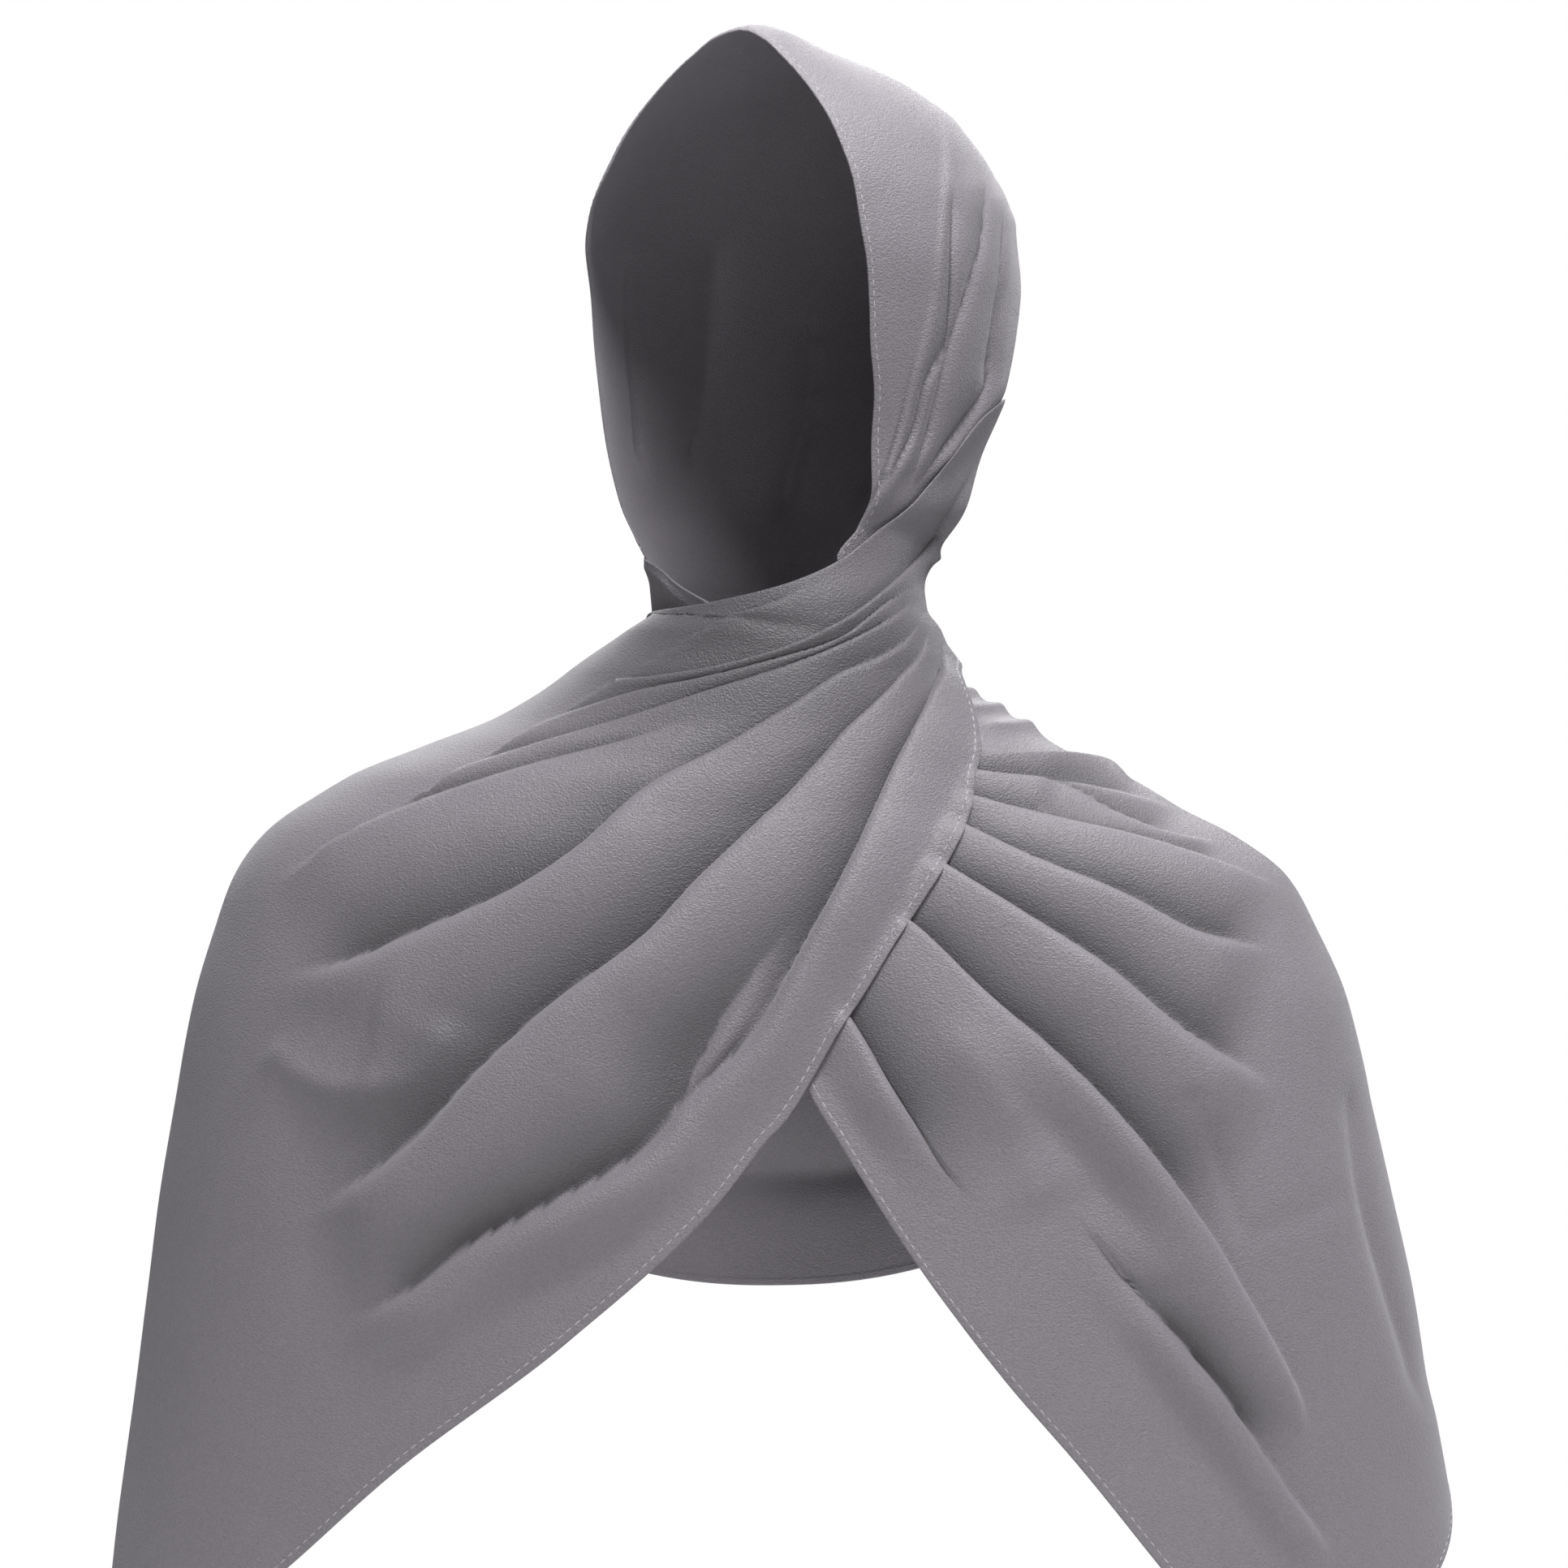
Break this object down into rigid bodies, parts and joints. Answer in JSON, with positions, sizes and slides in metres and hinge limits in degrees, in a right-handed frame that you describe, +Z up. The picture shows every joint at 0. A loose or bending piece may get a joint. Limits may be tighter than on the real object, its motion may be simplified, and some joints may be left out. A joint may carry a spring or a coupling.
{
  "type": "hijab headscarf",
  "caption": "Crepe headscarf shown as worn: wound over the head, crossed under the chin and spread over both shoulders.",
  "frame": {"origin": "inside of the hood's crown, where the wearer's head holds the scarf up", "axes": "+Z up, the wearer faces -Y, +X to the viewer's right of someone who looks at the front"},
  "size_m": [0.5503, 0.2436, 0.694],
  "materials": {
    "crepe": "matte crepe with a fine crinkle"
  },
  "bodies": {
    "root": {"hood": "crepe", "back_fall": "crepe", "under_stretch": "crepe", "front_stretch": "crepe"}
  },
  "joints": []
}
